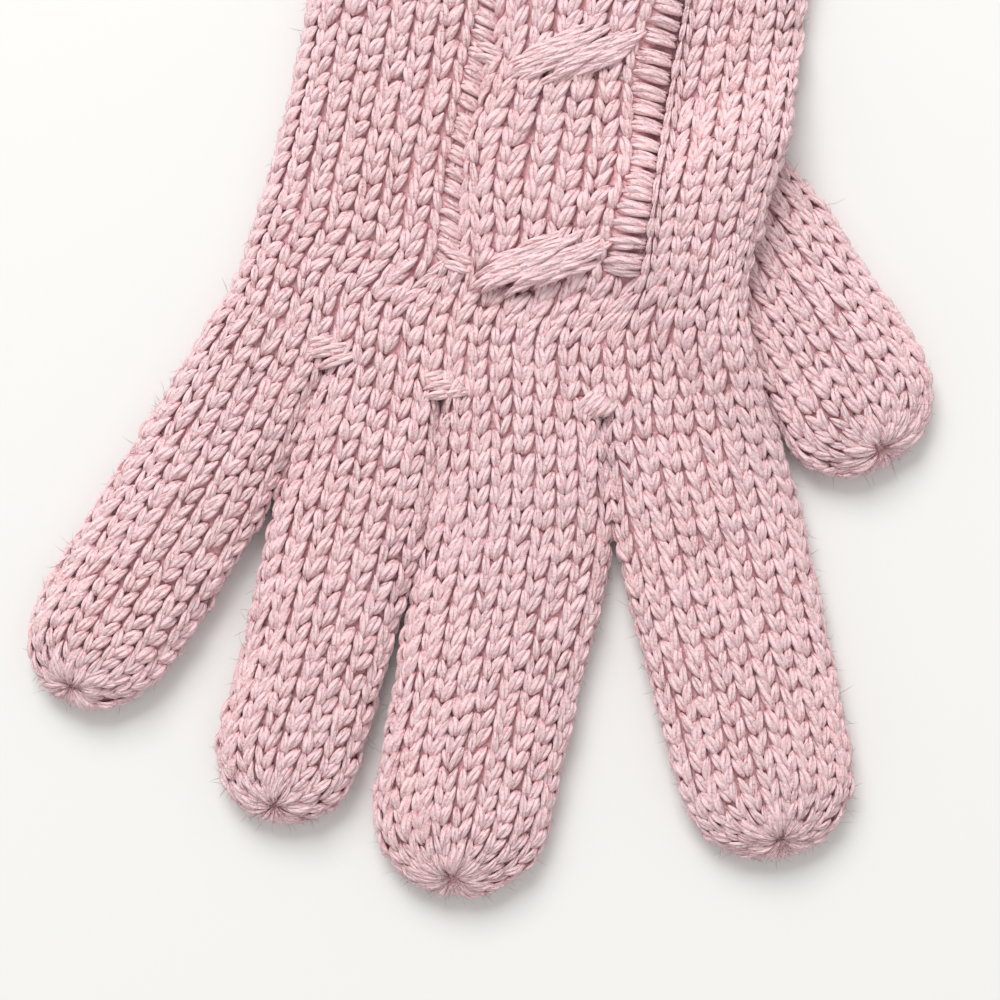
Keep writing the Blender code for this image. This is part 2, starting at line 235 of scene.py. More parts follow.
# Rings along a finger and its tip, and samples of a ring's quarter and of a course line of the hand, from
# which the nets are drawn evenly.
BODY_RINGS = 50
TIP_RINGS = 33
QUARTER_FINE = 90
SWEEP_FINE = 301

# The two legs of a stitch, in wales and courses where nothing else is said.
LEG_LONG = 1.66
LEG_INNER = 0.08  # how far from the wale's middle a leg starts
FULL_LEG = {"outer": 0.45, "late": 0.0, "long": 1, "wide": 1.0}
THIN_LEG = {"outer": 0.41, "late": 0.08, "long": 0.94, "wide": 0.86}
LEG_WIDE = 0.88  # half its width, mm
LEG_THICK = 0.68  # half its thickness, mm
LEG_TOP = -0.25  # height of a leg's middle over the outer face, mm
LEG_TOP_UNDER = -0.62  # and where the glove rests on the table
LEG_TUCK = 0.85  # how much lower its ends lie, mm
WALE_WIDE = 3.45  # where a leg has its full width, mm
# Heights of the fabric's outer and inner face over the outer face of the yarn, mm.
BACKING_TOP = -1.05
BACKING_UNDER = -2.1
TABLE_CLEAR = 0.03  # how far above the table the yarn stays, mm
# The full bar across each purl stitch, and the thinner one under it.
PURL_BARS = (
    # courses ahead, how much lower, bow towards the tip, half its width
    (0.5, 0.1, -0.5, 0.95),
    (1.0, 0.5, 0.3, 0.75),
)
# Slow waves in the courses.
WAVES = (
    # how far in courses, turn for each wale, turn for each course, turn at the start
    (0.16, 0.8, 0.31, 0.0),
    (0.12, 1.9, -0.23, 1.0),
    (0.10, 2.7, 0.0, 2.0),
)


def smooth(share):
    t = np.clip(share, 0, 1)
    return t * t * (3 - 2 * t)


def mix(a, b, share):
    return a + (b - a) * share


def unit(vectors):
    """These vectors with a length of 1 each."""
    return vectors / np.maximum(np.linalg.norm(vectors, axis=-1, keepdims=True), 1e-9)


def hump(t, power, ends=0.0):
    """Rises from 0 to 1 half way and falls again, from a little more than 0 where ends says so."""
    return np.sin(np.pi * np.clip(t, ends, 1 - ends)) ** power


def uneven(much, count=None):
    """Chance differences of about this much, one for each strand."""
    return much * rng.standard_normal(count)


def line_lengths(points):
    """How far along its line each point lies. Lines run down the first axis."""
    steps = np.linalg.norm(np.diff(points, axis=0), axis=-1)
    return np.concatenate([np.zeros_like(steps[:1]), np.cumsum(steps, axis=0)])


def read(table, at, column):
    """A column of a table at any places along its first one, as a smooth curve through its rows."""
    table = np.asarray(table)
    last = len(table) - 1
    i = np.clip(np.searchsorted(table[:, 0], at) - 1, 0, last - 1)
    rows = [np.clip(i + k, 0, last) for k in (-1, 0, 1, 2)]
    place = [table[row, 0] for row in rows]
    value = [table[row, column] for row in rows]
    step = place[2] - place[1]
    t = np.clip((at - place[1]) / step, 0, 1)
    slope_in = (value[2] - value[0]) / (place[2] - place[0]) * step
    slope_out = (value[3] - value[1]) / (place[3] - place[1]) * step
    t2, t3 = t * t, t * t * t
    return (
        (2 * t3 - 3 * t2 + 1) * value[1]
        + (t3 - 2 * t2 + t) * slope_in
        + (3 * t2 - 2 * t3) * value[2]
        + (t3 - t2) * slope_out
    )


def swell(inward, rounding):
    """How much of its height a rounded face has at a distance in from its edge, 0 to 1."""
    t = np.clip(inward / rounding, 0, 1)
    return np.sqrt(1 - (1 - t) ** ROUND_POWER)


def level(inward, high, rounding, on_top):
    """The height of the outer face at a distance in from the tube's edge."""
    edge = EDGE_SHARE * high
    over = edge + (high - edge) * swell(inward, rounding)
    under = edge - edge * swell(inward, np.minimum(UNDER_ROUND, rounding))
    return np.where(on_top, over, under)


def line_end(number):
    """The place of one row of the finger line."""
    share, y = FINGER_LINE[number]
    return mix(HAND_EDGES[-1][1], HAND_EDGES[-1][2], share), y


def rooted(shape):
    """A finger's shape with its root, its slant and its first row of edges from the finger line."""
    x0, y0 = line_end(shape["stretch"])
    x1, y1 = line_end(shape["stretch"] + 1)
    turn = -math.radians(shape["lean"]) - math.atan2(y1 - y0, x1 - x0)
    half = math.hypot(x1 - x0, y1 - y0) / 2 * math.cos(turn) - SEAM_GAP
    finger = dict(shape)
    finger["root"] = ((x0 + x1) / 2, (y0 + y1) / 2)
    finger["slant"] = math.tan(turn)
    finger["edges"] = np.array(((0.0, -half, half),) + shape["edges"])
    return finger


def placed(finger, along, across):
    """Places on the table from distances along and across a finger."""
    lean = math.radians(finger["lean"])
    x = finger["root"][0] - along * math.sin(lean) + across * math.cos(lean)
    y = finger["root"][1] - along * math.cos(lean) - across * math.sin(lean)
    return x, y


def lift(x, y):
    """How far the thumb raises what lies at this place above the table."""
    lean = math.radians(THUMB["lean"])
    dx, dy = x - THUMB["root"][0], y - THUMB["root"][1]
    along = -dx * math.sin(lean) - dy * math.cos(lean)
    across = dx * math.cos(lean) - dy * math.sin(lean)
    inner_edge = read(THUMB["edges"], along, 1)
    beside = smooth((across - inner_edge + LIFT_RAMP) / (LIFT_RAMP + THUMB_PRESSED / 2))
    before = smooth((along + LIFT_ROOT_RAMP) / LIFT_ROOT_RAMP)
    start, end = LIFT_ALONG
    after = 1 - smooth((along - start) / (end - start))
    return (THUMB_PRESSED + SEAM_GAP) * beside * before * after


def finger_high(along):
    return mix(HAND_HIGH, FINGER_HIGH, smooth(along / LOW_ALONG))


def thumb_high(along):
    start, end = THUMB_FREE
    return mix(THUMB_PRESSED, THUMB_HIGH, smooth((along - start) / (end - start)))


# -------------------- nets


class Net:
    """A tube's outer face, sampled evenly: points[row, column], whose columns go round it."""

    def __init__(self, points, wales, courses):
        self.points = points
        self.wales = wales
        self.courses = courses
        round_it = np.roll(points, -1, axis=1) - np.roll(points, 1, axis=1)
        along_it = np.gradient(points, axis=0)
        self.normals = unit(np.cross(along_it, round_it))

    def at(self, wale, course, height=0.0):
        """Points at these wales and courses, this high over the outer face, and the normals there."""
        rows, columns = self.points.shape[:2]
        row = np.asarray(course) / self.courses * (rows - 1)
        column = np.asarray(wale) / self.wales * columns
        i = np.clip(np.floor(row).astype(int), 0, rows - 2)
        down = (row - i)[..., None]
        j = np.floor(column).astype(int)
        aside = (column - j)[..., None]
        near, far = j % columns, (j + 1) % columns

        def blend(grid):
            upper = mix(grid[i, near], grid[i, far], aside)
            return mix(upper, mix(grid[i + 1, near], grid[i + 1, far], aside), down)

        normal = unit(blend(self.normals))
        return blend(self.points) + normal * np.asarray(height)[..., None], normal


def spread(profile, marks, counts, fine):
    """Places along a profile (0 to 1), evenly spaced between each two marks, so many wales in each."""
    length = line_lengths(profile)
    places = []
    at = np.interp(marks, np.linspace(0, 1, len(profile)), length)
    for start, end, count in zip(at, at[1:], counts):
        places.append(np.linspace(start, end, round(count * fine), endpoint=False))
    return np.interp(np.concatenate(places), length, np.linspace(0, 1, len(profile)))


def even_rows(points, count):
    """Each column of points divided anew into evenly spaced rows."""
    length = line_lengths(points)
    rows = np.empty((count, points.shape[1], 3))
    for column in range(points.shape[1]):
        at = np.linspace(0, length[-1, column], count)
        for axis in range(3):
            rows[:, column, axis] = np.interp(at, length[:, column], points[:, column, axis])
    return rows


def snug(along):
    """How much fuller a finger's yarn is on a side where it is pressed against the next finger."""
    start, full, end = SNUG_ALONG
    return SNUG * smooth(along / start) * (1 - smooth((along - full) / (end - full)))


def finger_point(finger, high, turn, along):
    """Points of a finger's body, at turns round it: 0 to 1 from the left edge, over the top first."""
    left, right = read(finger["edges"], along, 1), read(finger["edges"], along, 2)
    left = left - snug(along) * (finger["root_round"][0] == CROTCH_ROUND)
    right = right + snug(along) * (finger["root_round"][1] == CROTCH_ROUND)
    middle, half = (left + right) / 2, (right - left) / 2
    share = -np.cos(2 * np.pi * turn)
    on_top = turn < 0.5
    grown = smooth(along / (EVEN_ALONG * finger["long"]))
    root_round = np.where(share < 0, *finger["root_round"])
    rounding = mix(root_round, half, grown)
    z = level(half * (1 - np.abs(share)), high, rounding, on_top)
    across = middle + half * share
    down = along + finger["slant"] * across * (1 - grown)
    x, y = placed(finger, down, across)
    return np.stack([x, y, z + 0 * x], axis=-1)


def tip_point(finger, high, turn, polar):
    """Points of a finger's closing end, as a bowl whose pole is tilted back over the top."""
    tilt = TIP_TILT * (1 - polar / (np.pi / 2))
    ring = 2 * np.pi * turn
    side, ahead, up = -np.cos(ring) * np.sin(polar), np.cos(polar), np.sin(ring) * np.sin(polar)
    ahead, up = ahead * np.cos(tilt) - up * np.sin(tilt), ahead * np.sin(tilt) + up * np.cos(tilt)
    ahead = np.clip(ahead, 0, 1)
    flat = np.maximum(np.hypot(side, ahead), 1e-9)
    fuller = (np.abs(side / flat) ** ROUND_POWER + (ahead / flat) ** ROUND_POWER) ** (-1 / ROUND_POWER)
    side, ahead = side * fuller, np.clip(ahead * fuller, 0, 1)
    body = finger["long"] - finger["closing"]
    along = body + finger["closing"] * ahead
    left, right = read(finger["edges"], along, 1), read(finger["edges"], along, 2)
    middle, half = (left + right) / 2, (right - left) / 2
    width_share = (1 - ahead**ROUND_POWER) ** (1 / ROUND_POWER)
    inward = half * np.maximum(width_share - np.abs(side), 0)
    on_top = up > 0
    edge = EDGE_SHARE * high
    z = level(inward, high, half, on_top)
    under_closed = np.clip((along - finger["long"] + UNDER_ROUND) / UNDER_ROUND, 0, 1)
    closed_high = np.where(on_top, np.sqrt(1 - ahead**ROUND_POWER), np.sqrt(1 - under_closed**ROUND_POWER))
    z = edge + (z - edge) * closed_high
    x, y = placed(finger, along, middle + half * side)
    return np.stack([x, y, z], axis=-1)


def finger_net(finger, high_at, wales, courses, start=0.0):
    """The net of a finger: rings along its body and its closing end, then rows spread evenly."""
    fine_turn = np.linspace(0, 1, 4 * QUARTER_FINE + 1)
    rings = []
    for along in np.linspace(start, finger["long"] - finger["closing"], BODY_RINGS):
        high = high_at(along)
        length = line_lengths(finger_point(finger, high, fine_turn, along))
        top_middle = length[QUARTER_FINE]
        steps_round = np.arange(wales * NET_FINE) / NET_FINE - 0.5
        at = (steps_round / wales * length[-1] + top_middle) % length[-1]
        turn = np.interp(at, length, fine_turn)
        rings.append(finger_point(finger, high, turn, along))
    for polar in np.linspace(np.pi / 2, 0, TIP_RINGS)[1:]:
        rings.append(tip_point(finger, high_at(finger["long"]), turn, polar))
    return even_rows(np.array(rings), courses * NET_ROWS + 1)


def cable_half(y):
    """Half the width of the cable, which is pinched at each crossing."""
    off = (y - CROSSING_LOWEST_Y) / CROSSING_PITCH
    pinch = LOBE_PINCH * (0.5 + 0.5 * np.cos(2 * np.pi * off))
    return CABLE_HALF * (1 - pinch)


def hand_relief(x, y):
    """How far the cable's lobes stand out from the back of the hand, x from its middle."""
    half = cable_half(y)
    lobes = LOBE_HIGH * (1 - GROOVE_SHARE * (1 - np.abs(np.cos(LOBES * np.pi / 2 * x / half))) ** 2)
    outer = np.where(x < 0, PANEL_LEFT, PANEL_RIGHT)
    beside = np.clip((np.abs(x) - half) / np.maximum(outer - half, 0.5), 0, 1)
    outside = (1 - GROOVE_SHARE) * LOBE_HIGH * (1 - beside) - GUTTER_DEEP * np.sin(np.pi * beside)
    relief = np.where(np.abs(x) < half, lobes, outside)
    return relief * smooth((y - CABLE_END_Y) / 5 + 0.5)


def hand_row(down):
    """One course line of the hand's net, over the back from the left edge and back under the palm."""
    left, right, middle = (read(HAND_EDGES, down, column) for column in (1, 2, 3))
    sweep = np.linspace(0, np.pi, SWEEP_FINE)
    across = (left + right) / 2 - (right - left) / 2 * np.cos(sweep)
    inward = np.minimum(across - left, right - across)
    y_mid = mix(WRIST_Y, np.interp(CABLE_MID, *FINGER_LINE.T), down)

    def spaced(on_top, marks, counts):
        """The x of the net's samples, with so many wales between each two marks."""
        profile = np.stack([across, level(inward, HAND_HIGH, EDGE_ROUND, on_top)], axis=1)
        order = np.linspace(0, 1, SWEEP_FINE)
        place = spread(profile, np.interp(marks, across, order), counts, NET_FINE)
        return np.interp(place, order, across)

    half = cable_half(y_mid)
    cable = middle + CABLE_ASIDE
    panel_left, panel_right = cable - PANEL_LEFT, cable + PANEL_RIGHT
    left_side = (left, panel_left - ADDED_WIDE, panel_left, cable - half)
    panel = left_side + (cable + half, panel_right, panel_right + ADDED_WIDE, right)
    counts = (LEFT_WALES, 1, 1, CABLE_WALES, 1, 1, WALES_TOP - RIGHT_FIRST)
    paneled = spaced(True, panel, counts)
    plain = spaced(True, (left, right), (WALES_TOP,))
    fan = smooth((CABLE_END_Y + 2 - y_mid) / PANEL_FADE)
    over = mix(paneled, plain, fan)
    under = spaced(False, (left, right), (WALES_TOP,))
    under = np.append(under, right)[::-1][:-1]

    rows = []
    for x, on_top in ((over, True), (under, False)):
        share = np.where(
            x < middle,
            (x - left) / (middle - left) * CABLE_MID,
            CABLE_MID + (x - middle) / (right - middle) * (1 - CABLE_MID),
        )
        y = mix(WRIST_Y, np.interp(share, *FINGER_LINE.T), down)
        z = level(np.minimum(x - left, right - x), HAND_HIGH, EDGE_ROUND, on_top)
        if on_top:
            z = z + hand_relief(x - cable, y)
        rows.append(np.stack([x, y, z + lift(x, y)], axis=1))
    return np.concatenate(rows)


def is_knit(wale):
    """Two wales in four of the cuff's rib are knit, and the two after them purl."""
    return (wale % RIB_WALES > 0.5) & (wale % RIB_WALES < 2.5)


def cuff_row(along):
    """One course line of the cuff's net, round the tube as the hand's is."""
    half = mix(CUFF_HALF[0], CUFF_HALF[1], along)
    y = mix(WRIST_Y, CUFF_END_Y, along)
    wale = np.arange(2 * WALES_TOP * NET_FINE) / NET_FINE
    on_top = wale < WALES_TOP
    share = np.where(on_top, wale, 2 * WALES_TOP - wale) / WALES_TOP * 2 - 1
    z = level(half * (1 - np.abs(share)), CUFF_HIGH, EDGE_ROUND, on_top)
    rib = np.clip(np.cos((wale - 1.5) / RIB_WALES * 2 * np.pi) * 1.6, -1, 1)
    z = z + np.where(on_top, RIB_HIGH * (0.5 + 0.5 * rib), 0)
    return np.stack([CUFF_MID_X + half * share, y + 0 * share, z], axis=1)


def lifted(points):
    """Points of a finger, raised where it lies on the thumb."""
    points = points.copy()
    points[..., 2] += lift(points[..., 0], points[..., 1])
    return points


def make_nets():
    nets = {}
    hand_rows = [hand_row(down) for down in np.linspace(0, 1, HAND_COURSES * NET_ROWS + 1)]
    nets["hand"] = Net(np.array(hand_rows), 2 * WALES_TOP, HAND_COURSES)
    cuff_rows = [cuff_row(along) for along in np.linspace(1, 0, CUFF_COURSES * NET_ROWS + 1)]
    nets["cuff"] = Net(np.array(cuff_rows), 2 * WALES_TOP, CUFF_COURSES)
    for name, shape in FINGERS.items():
        wales, courses, _ = KNIT[name]
        points = finger_net(rooted(shape), finger_high, wales, courses)
        nets[name] = Net(lifted(points), wales, courses)
    wales, courses, _ = KNIT["thumb"]
    points = finger_net(THUMB, thumb_high, wales, courses, THUMB_START)
    nets["thumb"] = Net(points, wales, courses)
    return nets


# -------------------- meshes


def placed_object(name, data):
    made = bpy.data.objects.new(name, data)
    bpy.context.scene.collection.objects.link(made)
    return made


def piece(name, points, faces, material, uv=None, attributes=None):
    """A mesh object from arrays: points in mm, and faces as arrays of equal-sided polygons."""
    mesh = bpy.data.meshes.new(name)
    mesh.vertices.add(len(points))
    mesh.vertices.foreach_set("co", (points * MM).astype(np.float32).ravel())
    sides = np.concatenate([np.full(len(f), f.shape[1]) for f in faces])
    corners = np.concatenate([f.ravel() for f in faces])
    mesh.loops.add(len(corners))
    mesh.loops.foreach_set("vertex_index", corners.astype(np.int32))
    mesh.polygons.add(len(sides))
    starts = np.concatenate(([0], np.cumsum(sides)[:-1]))
    mesh.polygons.foreach_set("loop_start", starts.astype(np.int32))
    mesh.polygons.foreach_set("loop_total", sides.astype(np.int32))
    if uv is not None:
        layer = mesh.uv_layers.new(name="yarn")
        layer.uv.foreach_set("vector", uv.astype(np.float32).ravel())
    for title, values in (attributes or {}).items():
        attribute = mesh.attributes.new(title, "FLOAT", "POINT")
        attribute.data.foreach_set("value", values.astype(np.float32).ravel())
    mesh.update(calc_edges=True)
    mesh.validate()
    mesh.shade_smooth()
    mesh.materials.append(material)
    obj = placed_object(name, mesh)
    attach(obj, "root")
    return obj


def backing(name, net, material, closed):
    """The fabric itself, under the yarn's visible loops: a wall round the tube's hollow."""
    columns, rows = 2 * net.wales, net.courses
    wale = np.arange(columns) / 2
    last = rows - 0.35 if closed else rows
    course = np.linspace(0, last, rows + 1)
    grid_course, grid_wale = np.meshgrid(course, wale, indexing="ij")
    points, quads, triangles = [], [], []
    for height, outward in ((BACKING_TOP, True), (BACKING_UNDER, False)):
        first = sum(map(len, points))
        points.append(net.at(grid_wale, grid_course, height)[0].reshape(-1, 3))
        i, j = np.meshgrid(np.arange(rows), np.arange(columns), indexing="ij")
        a = first + i * columns + j
        b = first + i * columns + (j + 1) % columns
        face = np.stack([a, a + columns, b + columns, b], axis=-1).reshape(-1, 4)
        quads.append(face if outward else face[:, ::-1])
    count = (rows + 1) * columns
    j = np.arange(columns)
    k = (j + 1) % columns
    quads.append(np.stack([j, k, count + k, count + j], axis=-1))
    end = rows * columns
    if closed:
        for first, outward in ((end, True), (count + end, False)):
            ring = np.concatenate(points)[first : first + columns]
            pole = sum(map(len, points))
            points.append(ring.mean(axis=0)[None])
            face = np.stack([first + j, np.full(columns, pole), first + k], axis=-1)
            triangles.append(face if outward else face[:, ::-1])
    else:
        quads.append(np.stack([end + j, count + end + j, count + end + k, end + k], axis=-1))
    faces = [np.concatenate(quads)] + ([np.concatenate(triangles)] if triangles else [])
    return piece(name, np.concatenate(points), faces, material)


def across_and_up(centre, normal):
    """At each ring of some centre lines, the directions across the strand and up out of the fabric."""
    ahead = np.gradient(centre, axis=1)
    aside = unit(np.cross(ahead, normal))
    return aside, unit(np.cross(aside, ahead))


def strands(centre, normal, wide, thick, sides):
    """Tubes of yarn: centre lines [strand, ring, 3] with a normal at each ring, closed to a point."""
    count, rings = centre.shape[:2]
    aside, up = across_and_up(centre, normal)
    turn = np.linspace(0, 2 * np.pi, sides, endpoint=False)
    points = (
        centre[:, 1:-1, None]
        + aside[:, 1:-1, None] * (np.cos(turn)[:, None] * wide[:, 1:-1, None, None])
        + up[:, 1:-1, None] * (np.sin(turn)[:, None] * thick[:, 1:-1, None, None])
    )
    points = points.reshape(count, (rings - 2) * sides, 3)
    return np.concatenate([points, centre[:, :1], centre[:, -1:]], axis=1)


def strand_faces(count, rings, sides, lengths):
    """Faces and UVs (round the yarn, along it in mm) for tubes laid out as strands() does."""
    body = rings - 2
    each = body * sides + 2
    i, j = np.meshgrid(np.arange(body - 1), np.arange(sides), indexing="ij")
    a, b = i * sides + j, i * sides + (j + 1) % sides
    quads = np.stack([a, b, b + sides, a + sides], axis=-1).reshape(-1, 4)
    k = np.arange(sides)
    start, end = body * sides, body * sides + 1
    last = (body - 1) * sides
    first_cap = np.stack([np.full(sides, start), (k + 1) % sides, k], axis=-1)
    last_cap = np.stack([np.full(sides, end), last + k, last + (k + 1) % sides], axis=-1)
    triangles = np.concatenate([first_cap, last_cap])
    shift = (np.arange(count) * each)[:, None, None]
    faces = [(quads + shift).reshape(-1, 4), (triangles + shift).reshape(-1, 3)]
    around = np.stack([j, j + 1, j + 1, j], axis=-1).reshape(-1, 4) / sides
    along = np.stack([i + 1, i + 1, i + 2, i + 2], axis=-1).reshape(-1, 4) / (rings - 1)
    caps = [np.stack([k + 0.5, k + 1, k], axis=-1), np.stack([k + 0.5, k, k + 1], axis=-1)]
    cap_around = np.concatenate(caps) / sides
    near, far = 1 / (rings - 1), (rings - 2) / (rings - 1)
    cap_along = np.concatenate([np.tile((0, near, near), (sides, 1)), np.tile((1, far, far), (sides, 1))])
    uvs = []
    for u, v in ((around, along), (cap_around, cap_along)):
        u_all = np.broadcast_to(u, (count,) + u.shape)
        v_all = v * lengths[:, None, None]
        uvs.append(np.stack([u_all, v_all], axis=-1).reshape(-1, 2))
    return faces, np.concatenate(uvs)


# Rings along a strand, sides round it and its plies. The upper side has two twisted plies.
TOP_YARN = (7, 6, 2)
UNDER_YARN = (6, 5, 1)
PLY_TWIST = 1.7  # from one end of a strand to the other, radians
PLY_APART = 0.46  # of the strand's radius, as are the next two
PLY_WIDE = 0.58
PLY_LOW = 0.8  # how much nearer the plies are when one lies on the other


def plied(centre, normal, radius, tuck_shade):
    """Each strand as two plies that twist round each other, side by side at its middle."""
    count, rings = centre.shape[:2]
    aside, up = across_and_up(centre, normal)
    turn = PLY_TWIST * np.linspace(-0.5, 0.5, rings) + uneven(0.4, count)[:, None]
    lines = []
    for ply_turn in (turn, turn + np.pi):
        beside = np.cos(ply_turn)[..., None] * aside + PLY_LOW * np.sin(ply_turn)[..., None] * up
        lines.append(centre + PLY_APART * radius[..., None] * beside)
    twice = [np.concatenate([each, each]) for each in (normal, radius * PLY_WIDE, tuck_shade)]
    return np.concatenate(lines), *twice


def yarn(name, lines, material, build):
    """A piece of many strands, from their centre lines and, at each ring, normal, radius and tuck.

    tuck_shade is 0 where the strand is hidden and 1 where it lies on top; it darkens the yarn's colour
    towards its hidden ends as painted shade."""
    centre, normal, radius, tuck_shade = lines
    _, sides, plies = build
    flat = LEG_THICK / LEG_WIDE
    if plies == 2:
        centre, normal, radius, tuck_shade = plied(centre, normal, radius, tuck_shade)
        flat = 1.0
    points = strands(centre, normal, radius, radius * flat, sides)
    count, rings = centre.shape[:2]
    lengths = line_lengths(centre.swapaxes(0, 1))[-1]
    faces, uv = strand_faces(count, rings, sides, lengths)
    turn = np.linspace(0, 2 * np.pi, sides, endpoint=False)
    # Painted light and shade: the colour is paler on each strand's upper side and darker on its underside
    # and towards its hidden ends.
    painted_highlight = tuck_shade[:, 1:-1, None] * (0.72 + 0.28 * np.sin(turn))
    painted_light = np.concatenate([painted_highlight.reshape(count, -1), 0 * tuck_shade[:, :1], 0 * tuck_shade[:, -1:]], axis=1)
    tint = np.repeat(rng.random(count), points.shape[1])
    points = points.reshape(-1, 3)
    points[:, 2] = np.maximum(points[:, 2], TABLE_CLEAR)
    return piece(name, points, faces, material, uv, {"painted_light": painted_light, "tint": tint})


# -------------------- stitches


def wander(net, wale, course):
    """Slow waves that keep the courses from lying as even as a ruled grid, still at a net's ends."""
    still = smooth(course / 3) * smooth((net.courses - course) / 4)
    return still * sum(far * np.sin(a * wale + b * course + start) for far, a, b, start in WAVES)


def wale_room(net, wale, course):
    """How much narrower or wider than usual the wales are at these places."""
    left = net.at(wale - 0.5, course + 0.7)[0]
    right = net.at(wale + 0.5, course + 0.7)[0]
    room = np.linalg.norm(right - left, axis=1) / WALE_WIDE
    return np.clip(room, 0.3, 1.25) ** 0.8


def yarn_top(net, wale, course):
    """The height of the yarn's middle over the outer face: less where the glove lies on the table."""
    facing = net.at(wale, course + 0.5)[1][:, 2]
    return mix(LEG_TOP_UNDER, LEG_TOP, smooth((facing + 0.9) / 0.5))


def knit_legs(net, wale, course, rings, fuller):
    """Centre lines, normals, radii and painted shade masks (0 at the hidden ends, 1 at the middle) of the
    two legs of each stitch: a V that opens to the tip.

    One leg is fuller and leans more than the other, as the yarn's twist has it."""
    t = np.linspace(0, 1, rings)
    count = len(wale)
    room = wale_room(net, wale, course)
    top = yarn_top(net, wale, course)[:, None]
    course = course + wander(net, wale, course)
    made = []
    for side in (-1, 1):
        leg = FULL_LEG if side == -fuller else THIN_LEG
        inner = LEG_INNER * fuller + LEG_INNER * side + uneven(0.035, count)
        outer = leg["outer"] * side + uneven(0.04, count)
        start = uneven(0.07, count) + leg["late"]
        end = start + LEG_LONG * leg["long"] + uneven(0.09, count)
        across = mix(inner[:, None], outer[:, None], t) + side * 0.04 * np.sin(np.pi * t)
        along = mix(start[:, None], end[:, None], t)
        high = top + uneven(0.16, count)[:, None] * np.sin(np.pi * t)
        high = high - LEG_TUCK * np.abs(2 * t - 0.98) ** 2.4
        line, normal = net.at(wale[:, None] + across, course[:, None] + along, high)
        size = LEG_WIDE * leg["wide"] * (1 + uneven(0.1, count)) * room
        radii = size[:, None] * hump(t * 0.98 + 0.01, 0.55)
        # The last of these is the painted shade mask: the leg's colour darkens towards its ends.
        made.append((line, normal, radii, np.broadcast_to(hump(t, 0.7), (count, rings))))
    return [np.concatenate(each) for each in zip(*made)]


def purl_bumps(net, wale, course, rings, bar):
    """The bars of purl wales. bar says how far each one reaches to the left and the right of its wale's
    middle, in wales, and how deep it is sunk, in mm."""
    from_wale, to_wale, sunk = bar
    t = np.linspace(0, 1, rings)
    count = len(wale)
    top = yarn_top(net, wale, course)
    arch = 0.35 * np.sin(np.pi * t) - 0.7 * np.abs(2 * t - 1) ** 3
    made = []
    for courses_ahead, lower, bow, wide in PURL_BARS:
        middle = course + courses_ahead + uneven(0.09, count)
        low = top - sunk - lower
        start, start_normal = net.at(wale + from_wale, middle - 0.18, low)
        end, end_normal = net.at(wale + to_wale, middle + 0.24, low)
        normal = mix(start_normal[:, None], end_normal[:, None], t[:, None])
        line = mix(start[:, None], end[:, None], t[:, None]) + normal * arch[:, None]
        ahead = net.at(wale, middle + 0.3, low)[0] - net.at(wale, middle, low)[0]
        line = line + ahead[:, None] * (bow * np.sin(np.pi * t))[:, None]
        radii = wide * (1 + uneven(0.1, count)[:, None]) * hump(t, 0.45, 0.02)
        # The last of these is the painted shade mask: the bar's colour darkens towards its ends.
        made.append((line, normal, radii, np.broadcast_to(hump(t, 0.7), (count, rings))))
    return [np.concatenate(each) for each in zip(*made)]


def free_strands(starts, ends, high, radius, rings, sway, dive):
    """Strands that lie across the back of the hand, from start to end (x, y), this high at their middle.

    sway bends them to an S, as a share of their length, and dive is how much lower their ends lie."""
    t = np.linspace(0, 1, rings)
    starts, ends = np.asarray(starts, float), np.asarray(ends, float)
    ahead = ends - starts
    aside = np.stack([-ahead[:, 1], ahead[:, 0]], axis=1)
    place = mix(starts[:, None], ends[:, None], t[:, None])
    place = place + aside[:, None] * (sway * np.sin(2 * np.pi * t))[:, None]
    x, y = place[..., 0], place[..., 1]
    z = HAND_HIGH + lift(x, y) + (np.asarray(high)[:, None] - dive * np.abs(2 * t - 1) ** 2.4)
    line = np.stack([x, y, z], axis=-1)
    normal = np.broadcast_to((0.0, 0.0, 1.0), line.shape)
    radii = np.asarray(radius)[:, None] * hump(t, 0.4, 0.02)
    # The last of these is the painted shade mask: the strand's colour darkens towards its ends.
    return line, normal, radii, np.broadcast_to(hump(t, 0.5), radii.shape)


def grid_of(wales, courses):
    """Every pair of these wale middles and courses, as two flat arrays."""
    grid_wale, grid_course = np.meshgrid(wales, courses)
    return grid_wale.ravel().astype(float), grid_course.ravel().astype(float)


# -------------------- materials


